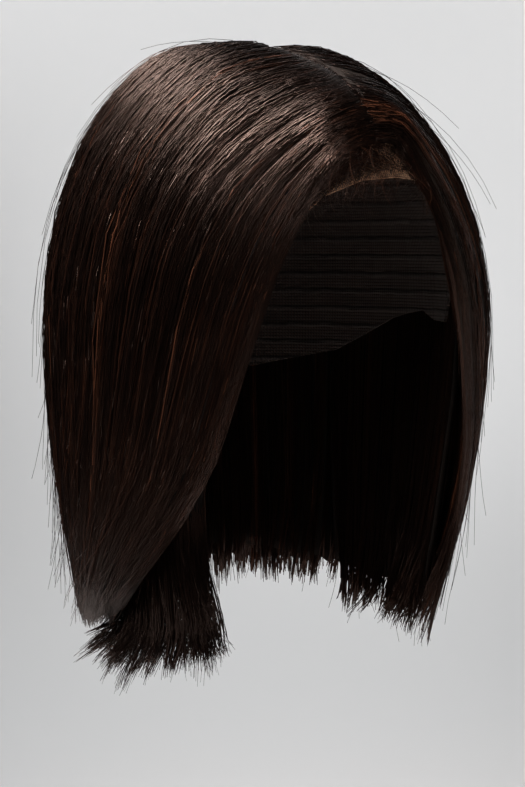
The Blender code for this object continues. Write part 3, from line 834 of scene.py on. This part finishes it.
# %% One piece for each row of the plan
def layer_of_hairs(plan):
    layer = LAYERS[plan.node]
    rng = np.random.default_rng(plan.seed)
    count, locks = plan.count, plan.locks
    under = layer.kind == "under"
    lock_of = rng.integers(0, locks, count)
    reach = (1 - plan.ragged * rng.random(count) ** 1.5) * (1 - 0.6 * plan.ragged * rng.random(locks))[lock_of]
    along = uneven_rings(rng, SHORT_STRAND if under else LONG_STRAND, count) * column(reach)
    lock_wave = lock_waves(rng, locks, lock_of, along)
    own_wave = waves(rng, count, 1.0, 3.5, along)
    middles = (np.arange(locks) + rng.uniform(0.1, 0.9, locks)) / locks
    strands = Strands(lock_of, middles, along, lock_wave, own_wave)

    across, edge = spread_across(plan, layer.kind, rng, strands)
    rise = rise_in_layer(plan, rng, strands, edge)
    centres, outward = in_layer(layer, across, along, rise)
    centres = flicked(plan, layer.kind, rng, strands, centres, outward)
    if layer.kind == "sweep":
        centres = mixed_roots(plan, rng, strands, across, centres, outward)

    taper = mix(1.0, 0.42, smooth(along, 0.88, 1.0)) * mix(0.4, 1.0, smooth(along, 0.0, 0.06))
    radius = plan.thickness / 2 * column(rng.uniform(0.75, 1.2, count) * np.where(edge, 0.7, 1.0)) * taper
    halfway = across[:, 5]
    tone = tones(rng, lock_of, locks, halfway, CHESTNUT_LOCKS_BELOW if under else CHESTNUT_LOCKS)
    # The strip beside the face is lifted towards chestnut: partly the wig's streaks, partly a painted highlight where
    # the light from the wearer's left falls.
    if plan.node == "sweep_left":
        place, width, lift_with_highlight = CHESTNUT_AND_HIGHLIGHT_STRIP
        tone = np.clip(tone + lift_with_highlight * np.exp(-(((halfway - place) / width) ** 2)), 0, 1)
    return hairs(plan.name, centres, outward, radius, tone, plan.node)


pieces = [layer_of_hairs(plan) for plan in PLAN]
print("hairs:", {piece.name: len(piece.data.polygons) for piece in pieces})

# %% [markdown]
# ## The hairline
#
# Along the hairline each fibre is knotted into the lace by hand and combed back into the sweep. So these hairs start
# in rows on the lace, leave it at a low angle and join the strands of their layer. Among them are short, fine baby
# hairs, which soften the edge. They are the same tubes, and only their first stretch is drawn to another root.

# %% Hairs knotted into the lace
# side is -1 on the wearer's right. reach says how far round from the front they are knotted, in degrees. joins is the
# share of the strand after which a hair lies with the others. shortest and longest say how much of the strand it
# runs along.
Hairline = namedtuple("Hairline", "name node seed count side reach joins shortest longest thickness tone")
HAIRLINE = [
    Hairline("hairline_right", "sweep_right", 21, 520, -1, 44, 0.16, 0.75, 1.00, 0.00034, 0.40),
    Hairline("hairline_left", "sweep_left", 22, 560, 1, 48, 0.13, 0.75, 1.00, 0.00034, 0.42),
    Hairline("baby_hair_right", "sweep_right", 23, 160, -1, 46, 0.10, 0.04, 0.13, 0.00020, 0.80),
    Hairline("baby_hair_left", "sweep_left", 24, 140, 1, 50, 0.10, 0.04, 0.13, 0.00020, 0.80),
]
HAIRLINE_STEPS = [0, 0.02, 0.06, 0.12, 0.19, 0.27, 0.36, 0.46, 0.58, 0.72, 0.86, 1]
FRONT_ROW = 0.0012  # the first knots lie this far behind the edge of the lace
KNOT_ROWS = 0.016  # how deep the rows of knots go


def rim_fall(angle):
    return in_table(CAP_RIM, from_front(angle))


def hairline_hairs(plan):
    layer = LAYERS[plan.node]
    rng = np.random.default_rng(plan.seed)
    count = plan.count
    shares = np.linspace(0, 1, 200)
    front_angle, _ = strand_place(layer.guides, np.zeros(200), shares)
    angle = plan.side * plan.reach * rng.random(count) ** 0.8
    set_in = FRONT_ROW + KNOT_ROWS * (1 - 0.55 * np.abs(angle) / plan.reach) * rng.random(count) ** 0.62
    roots = cap_skin(angle, rim_fall(angle) - set_in / DOME_ARC, LACE_WALL, SIDE_LENGTH)
    start = np.interp(np.abs(angle), np.abs(front_angle[:90]), shares[:90])
    end = start + (1 - start) * rng.uniform(plan.shortest, plan.longest, count)
    along = mix(column(start), column(end), np.array(HAIRLINE_STEPS)[None, :])
    across = column(np.abs(rng.normal(0, 0.055, count))) + 0.004 * waves(rng, count, 1.0, 3.0, along)
    rise = column(rng.uniform(0.2, 1.02, count))
    centres, outward = in_layer(layer, np.clip(across, 0.001, 1), along, rise)
    joined = smooth(along - column(start), 0.0, plan.joins * rng.uniform(0.7, 1.3, (count, 1)))
    centres = centres + (roots - centres[:, 0])[:, None, :] * (1 - joined)[..., None]
    arch = 0.0022 * rng.random(count)
    centres += outward * (column(arch) * np.sin(math.pi * joined))[..., None]
    steps = np.array(HAIRLINE_STEPS)
    taper = (mix(0.55, 1.0, smooth(steps, 0.0, 0.25)) * mix(1.0, 0.3, steps**3))[None, :]
    radius = plan.thickness / 2 * column(rng.uniform(0.7, 1.2, count)) * taper
    tone = np.clip(rng.normal(plan.tone, 0.18, count), 0, 1)
    piece = hairs(plan.name, centres, outward, radius, tone, plan.node)
    return piece, roots


hairline = [hairline_hairs(plan) for plan in HAIRLINE]
pieces += [piece for piece, _ in hairline]
print("hairline:", {piece.name: len(roots) for piece, roots in hairline})

# %% [markdown]
# Between them lie finer hairs that never leave the lace. Most rise from their knots, turn over and lie down sideways,
# which veils the net more and more towards the sweep. A few at the front are so short that they curl forward over the
# edge. Both are arcs on the head: a heading, 0 downwards, that turns evenly while the hair runs on.

# %% Hairs laid on the lace
# rows says how far back from the edge they are knotted, and off how far they stand off the lace, in metres, as are
# their lengths. heading and turn are in radians, and uneven is how much both vary.
Laid = namedtuple("Laid", "name seed count reach rows shortest longest heading uneven turn off radius tone")
LAID = [
    Laid("laid_hair", 25, 1150, 44, 0.021, 0.014, 0.040, 2.10, 0.50, -1.4, 0.0030, 0.00013, 0.45),
    Laid("short_curls", 26, 90, 42, 0.0, 0.005, 0.019, 0.0, 1.1, 0.0, 0.0040, 0.00010, 0.65),
]
LAID_STEPS = np.linspace(0, 1, 10)


def laid_hairs(plan):
    rng = np.random.default_rng(plan.seed)
    count = plan.count
    root_angle = plan.reach * rng.uniform(-1, 1, count) * rng.random(count) ** 0.35
    side = np.sign(root_angle + rng.normal(0, 5, count))
    length = column(rng.uniform(plan.shortest, plan.longest, count))
    bending = column(side * plan.turn + rng.normal(0, 0.5 + plan.uneven, count))
    heading = column(side * plan.heading + rng.normal(0, plan.uneven, count)) + bending * LAID_STEPS[None, :]
    run = np.cumsum(np.stack([np.sin(heading), np.cos(heading)]), axis=2) * length / len(LAID_STEPS)
    set_in = FRONT_ROW + plan.rows * rng.random(count) ** 1.15
    angle = column(root_angle) + np.degrees(run[0] / HEAD_HALF_WIDTH)
    fall = column(rim_fall(root_angle) - set_in / DOME_ARC) + run[1] / DOME_ARC
    ground = cap_skin(angle, fall, LACE_WALL, SIDE_LENGTH)
    outward = unit(cap_skin(angle, fall, LACE_WALL + 0.01, SIDE_LENGTH) - ground)
    off = column(plan.off * rng.random(count)) * np.sin(math.pi * 0.8 * LAID_STEPS)[None, :]
    radius = np.broadcast_to(plan.radius * mix(1.0, 0.5, LAID_STEPS), (count, len(LAID_STEPS)))
    tone = np.clip(rng.normal(plan.tone, 0.20, count), 0, 1)
    return hairs(plan.name, ground + off[..., None] * outward, outward, radius, tone, "sweep_right")


pieces += [laid_hairs(plan) for plan in LAID]

# %% [markdown]
# ## Lace and knots
#
# The lace is a sheer net with diamond meshes, so thin that skin shows through. Real threads are about 0.1 mm and the
# meshes 0.8 mm. They are drawn at 0.26 mm and 1.1 mm, which still shows as a fine veil here. A grid is poked and its
# own edges are dissolved, which leaves diamonds. The wireframe operator then turns each edge into a closed thread.
# Small dark knots sit where hairs are tied.

# %% The net
LACE_CELLS_ROUND = 120
LACE_CELLS_DEEP = 16
THREAD = 0.00026


def on_lace(x, y, wall):
    """A point of the strip: x runs round from -1 to 1, and y from its front edge at -1 to its sewn edge at 1."""
    angle = LACE_END_ANGLE * x
    width = mix(LACE_WIDTH, LACE_END_WIDTH, smooth(from_front(angle), LACE_NARROWS_ANGLE, LACE_END_ANGLE))
    return cap_skin(angle, rim_fall(angle) - width / DOME_ARC * (y + 1) / 2, wall, SIDE_LENGTH)


def lace_net():
    bm = bmesh.new()
    bmesh.ops.create_grid(bm, x_segments=LACE_CELLS_ROUND, y_segments=LACE_CELLS_DEEP, size=1.0)
    straight = bm.edges[:]
    bmesh.ops.poke(bm, faces=bm.faces[:])
    inside = [edge for edge in straight if edge.is_valid and len(edge.link_faces) == 2]
    bmesh.ops.dissolve_edges(bm, edges=inside, use_verts=False)
    bent(bm, lambda flat: on_lace(flat[:, 0], flat[:, 1], LACE_WALL / 2))
    bmesh.ops.recalc_face_normals(bm, faces=bm.faces)
    print("net covers", round(1e6 * sum(face.calc_area() for face in bm.faces)), "square millimetres")
    bmesh.ops.wireframe(
        bm, faces=bm.faces[:], thickness=THREAD, offset=0.0, use_replace=True, use_boundary=True,
        use_even_offset=True, use_crease=False, use_relative_offset=False, material_offset=0,
    )
    bmesh.ops.recalc_face_normals(bm, faces=bm.faces)
    mesh = bpy.data.meshes.new("lace_net")
    bm.to_mesh(mesh)
    bm.free()
    mesh.shade_smooth()
    piece = linked("lace_net", mesh)
    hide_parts("lace_front")
    return piece


net = lace_net()
print("net:", len(net.data.polygons), "faces")

# %% Knots
def knots(places, size):
    bm = bmesh.new()
    for place in places:
        bmesh.ops.create_icosphere(bm, subdivisions=1, radius=size, matrix=Matrix.Translation(Vector(place)))
    mesh = bpy.data.meshes.new("lace_knots")
    bm.to_mesh(mesh)
    bm.free()
    mesh.shade_smooth()
    piece = linked("lace_knots", mesh)
    return piece


KNOT_RADIUS = 0.00030
KNOTS_SHOWN = 3  # one in three, because the others lie under hair

knot_places = np.concatenate([roots[::KNOTS_SHOWN] for _, roots in hairline])
knot_piece = knots(knot_places, KNOT_RADIUS)
print("knots:", len(knot_places))

# %% [markdown]
# ## Flyaways
#
# No wig hangs without loose hairs. They leave the surface of a layer at any height, bow away from it and drift
# sideways. Below, where the hair is narrower, they stand off further.

# %% Loose hairs
# They leave their layer between first and last, as shares of its strands. furthest is how far their ends stand off.
Loose = namedtuple("Loose", "name node seed count first last furthest")
LOOSE = [
    Loose("loose_right", "sweep_right", 31, 280, 0.00, 0.72, 0.0090),
    Loose("loose_left", "sweep_left", 32, 210, 0.00, 0.72, 0.0090),
    Loose("loose_back", "back_fall", 33, 130, 0.00, 0.72, 0.0090),
    Loose("loose_ends", "under_right", 34, 150, 0.20, 0.80, 0.0130),
    Loose("loose_ends_left", "under_left", 35, 110, 0.20, 0.80, 0.0130),
]
LOOSE_STEPS = np.linspace(0, 1, 10)
LOOSE_RADIUS = 0.00017  # thicker than a fibre, so that it shows


def loose_hairs(plan):
    layer = LAYERS[plan.node]
    rng = np.random.default_rng(plan.seed)
    count = plan.count
    start = rng.uniform(plan.first, plan.last, count)
    end = np.minimum(start + rng.uniform(0.12, 0.45, count), 1.0)
    along = mix(column(start), column(end), LOOSE_STEPS[None, :])
    across = column(rng.random(count)) + 0.010 * waves(rng, count, 0.6, 2.5, along)
    centres, outward = in_layer(layer, np.clip(across, 0.002, 0.998), along, 0.98)
    bow = LOOSE_STEPS[None, :] ** column(rng.uniform(0.8, 2.2, count))
    room = 1.0 + 0.9 * smooth(along, 0.70, 1.0)
    centres += (plan.furthest * column(rng.random(count) ** 1.3) * bow * room)[..., None] * outward
    sideways = np.cross((0.0, 0.0, 1.0), outward)
    centres += (column(rng.normal(0, 0.006, count)) * bow)[..., None] * sideways
    centres[..., 2] += column(rng.normal(0, 0.004, count)) * bow * smooth(along, 0.5, 0.9)
    radius = LOOSE_RADIUS * np.broadcast_to(mix(1.0, 0.6, LOOSE_STEPS), (count, len(LOOSE_STEPS)))
    return hairs(plan.name, centres, outward, radius, rng.uniform(0.1, 0.8, count), plan.node)


pieces += [loose_hairs(plan) for plan in LOOSE]
triangles = {
    piece.name: sum(len(polygon.vertices) - 2 for polygon in piece.data.polygons)
    for piece in pieces + masses + [net, knot_piece]
}
print("triangles:", sum(triangles.values()), "and at most", max(triangles.values()), "a piece")
print("pieces of hair:", len(pieces))

# %% [markdown]
# ## Finish of the hair
#
# Modacrylic fibre is a smooth, satin plastic. The colour of this one is a near-black brown with dark and chestnut
# streaks. A hair's shade comes from its own number, which picks a place on a ramp. The gloss comes from the round
# tubes themselves: side by side they spread a lamp's light into a band across the hair, as real fibres do.

# %% Hair finishes
# Modacrylic fibre, satin: dark brown with chestnut streaks. It gives the eye fine lines that shift in shade and a
# soft band of light.
fibre, tree, shader = new_material("satin_modacrylic_fibre")
tone = add(tree, "ShaderNodeAttribute", {"attribute_name": "tone"})
place = add(tree, "ShaderNodeTexCoord")
# The shade also drifts a little over patches 26 mm wide, which is a scale of 38 to the metre.
drift = add(tree, "ShaderNodeTexNoise", {"Scale": 38.0, "Detail": 1.0}, Vector=place.outputs["Object"])
shift = add(tree, "ShaderNodeMath", {"operation": "MULTIPLY_ADD", 1: 0.22, 2: -0.11}, _0=drift.outputs["Fac"])
shade = add(
    tree, "ShaderNodeMath", {"operation": "ADD", "use_clamp": True}, _0=tone.outputs["Fac"], _1=shift.outputs[0]
)
shades = ramp(
    tree,
    shade.outputs[0],
    [(0.0, "#050201"), (0.30, "#090403"), (0.52, "#140A06"), (0.74, "#2C1810"), (1.0, "#5C3827")],
)
tree.links.new(shades, shader.inputs["Base Color"])
shader.inputs["Roughness"].default_value = 0.30
shader.inputs["IOR"].default_value = 1.50
shader.inputs["Specular IOR Level"].default_value = 0.38
shader.inputs["Specular Tint"].default_value = colour("#F9CCBA")
for piece in pieces + [knot_piece]:
    piece.data.materials.append(fibre)

# The same fibre seen as a mass: its dark brown is painted darker still, as painted shade of the hairs over it, with
# streaks 0.8 mm wide along the hair.
mass_painted_shade, tree, shader = new_material("massed_modacrylic_fibre")
uv = add(tree, "ShaderNodeUVMap", {"uv_map": "strand_map"})
stretched = add(tree, "ShaderNodeMapping", {"Scale": (160.0, 3.0, 1.0)}, Vector=uv.outputs["UV"])
streaks = add(
    tree, "ShaderNodeTexNoise", {"Scale": 1.0, "Detail": 3.0, "Roughness": 0.6}, Vector=stretched.outputs["Vector"]
)
tree.links.new(
    ramp(tree, streaks.outputs["Fac"], [(0.30, "#060403"), (0.55, "#0F0906"), (0.75, "#1C100B")]),
    shader.inputs["Base Color"],
)
bump = add(tree, "ShaderNodeBump", {"Strength": 0.6, "Distance": 0.0006}, Height=streaks.outputs["Fac"])
tree.links.new(bump.outputs["Normal"], shader.inputs["Normal"])
shader.inputs["Roughness"].default_value = 0.75
shader.inputs["Specular IOR Level"].default_value = 0.12
for piece in masses:
    piece.data.materials.append(mass_painted_shade)
print("finishes:", fibre.name, mass_painted_shade.name)

# %% [markdown]
# ## Finish of the lace and the cap
#
# The net is knotted from clear nylon in a warm skin shade. The cap is knitted mesh, dark so that it doesn't show
# between the hairs, with wefts, the sewn rows of hair, about every 9 mm. Both finishes read the solid's own
# coordinates: the angle round the head and the height give the knit its two directions.

# %% Lace and cap finishes
# Nylon net, heat-set: a pale peach thread with a slight gloss, which the eye takes for skin.
nylon, tree, shader = new_material("skin_tone_nylon_net")
place = add(tree, "ShaderNodeTexCoord")
patches = add(tree, "ShaderNodeTexNoise", {"Scale": 60.0, "Detail": 2.0}, Vector=place.outputs["Object"])
tree.links.new(
    ramp(tree, patches.outputs["Fac"], [(0.3, "#B98663"), (0.7, "#D9B08E")]), shader.inputs["Base Color"]
)
shader.inputs["Roughness"].default_value = 0.45
net.data.materials.append(nylon)

# Knitted polyamide mesh with sewn wefts: a dark brown cloth with fine meshes and a raised, hairy row every 9 mm.
KNIT = 0.0016  # the real knit's meshes are 0.8 mm, too fine to show here
WEFT_ROWS = 0.009
CAP_MEAN_RADIUS = 0.087
knit, tree, shader = new_material("knitted_mesh_with_wefts")
place = add(tree, "ShaderNodeTexCoord")
apart = add(tree, "ShaderNodeSeparateXYZ", Vector=place.outputs["Object"])
turn = add(tree, "ShaderNodeMath", {"operation": "ARCTAN2"}, _0=apart.outputs["X"], _1=apart.outputs["Y"])
round_count = round(2 * math.pi * CAP_MEAN_RADIUS / KNIT)
columns = add(tree, "ShaderNodeMath", {"operation": "MULTIPLY", 1: round_count / 2}, _0=turn.outputs[0])
column_wave = add(tree, "ShaderNodeMath", {"operation": "SINE"}, _0=columns.outputs[0])
rows = add(tree, "ShaderNodeMath", {"operation": "MULTIPLY", 1: math.pi / KNIT}, _0=apart.outputs["Z"])
row_wave = add(tree, "ShaderNodeMath", {"operation": "SINE"}, _0=rows.outputs[0])
meshes = add(tree, "ShaderNodeMath", {"operation": "MULTIPLY"}, _0=column_wave.outputs[0], _1=row_wave.outputs[0])
meshes = add(tree, "ShaderNodeMath", {"operation": "ABSOLUTE"}, _0=meshes.outputs[0])
wobble = add(tree, "ShaderNodeTexNoise", {"Scale": 90.0, "Detail": 2.0}, Vector=place.outputs["Object"])
height = add(
    tree, "ShaderNodeMath", {"operation": "MULTIPLY_ADD", 1: 0.002}, _0=wobble.outputs["Fac"], _2=apart.outputs["Z"]
)
weft = add(tree, "ShaderNodeMath", {"operation": "MULTIPLY", 1: 2 * math.pi / WEFT_ROWS}, _0=height.outputs[0])
weft = add(tree, "ShaderNodeMath", {"operation": "COSINE"}, _0=weft.outputs[0])
weft = add(
    tree,
    "ShaderNodeMapRange",
    {"From Min": 0.55, "From Max": 0.95, "To Min": 0.0, "To Max": 1.0},
    Value=weft.outputs[0],
)
ground = ramp(tree, meshes.outputs[0], [(0.05, "#080504"), (0.35, "#20140F"), (0.9, "#2E1F17")])
stitched = add(tree, "ShaderNodeMix", {"data_type": "RGBA"}, _0=weft.outputs["Result"])
stitched.inputs[7].default_value = colour("#140C09")
tree.links.new(ground, stitched.inputs[6])
tree.links.new(stitched.outputs[2], shader.inputs["Base Color"])
relief = add(
    tree, "ShaderNodeMath", {"operation": "MULTIPLY_ADD", 1: 2.5}, _0=weft.outputs["Result"], _2=meshes.outputs[0]
)
bump = add(tree, "ShaderNodeBump", {"Strength": 0.8, "Distance": 0.0004}, Height=relief.outputs[0])
tree.links.new(bump.outputs["Normal"], shader.inputs["Normal"])
shader.inputs["Roughness"].default_value = 0.82
shader.inputs["Sheen Weight"].default_value = 0.05
cap = bpy.data.objects["cap"]
for slot in range(len(cap.material_slots)):
    cap.material_slots[slot].material = knit
print("finishes:", nylon.name, knit.name, "on", cap.name)

# %% Measure and finish
visual_box = [list(corner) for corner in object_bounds()]
for axis, solid, visual in zip("xyz", zip(*solid_box), zip(*visual_box)):
    print(axis, "stands proud by", [round(1000 * abs(v - s), 1) for s, v in zip(solid, visual)], "mm")
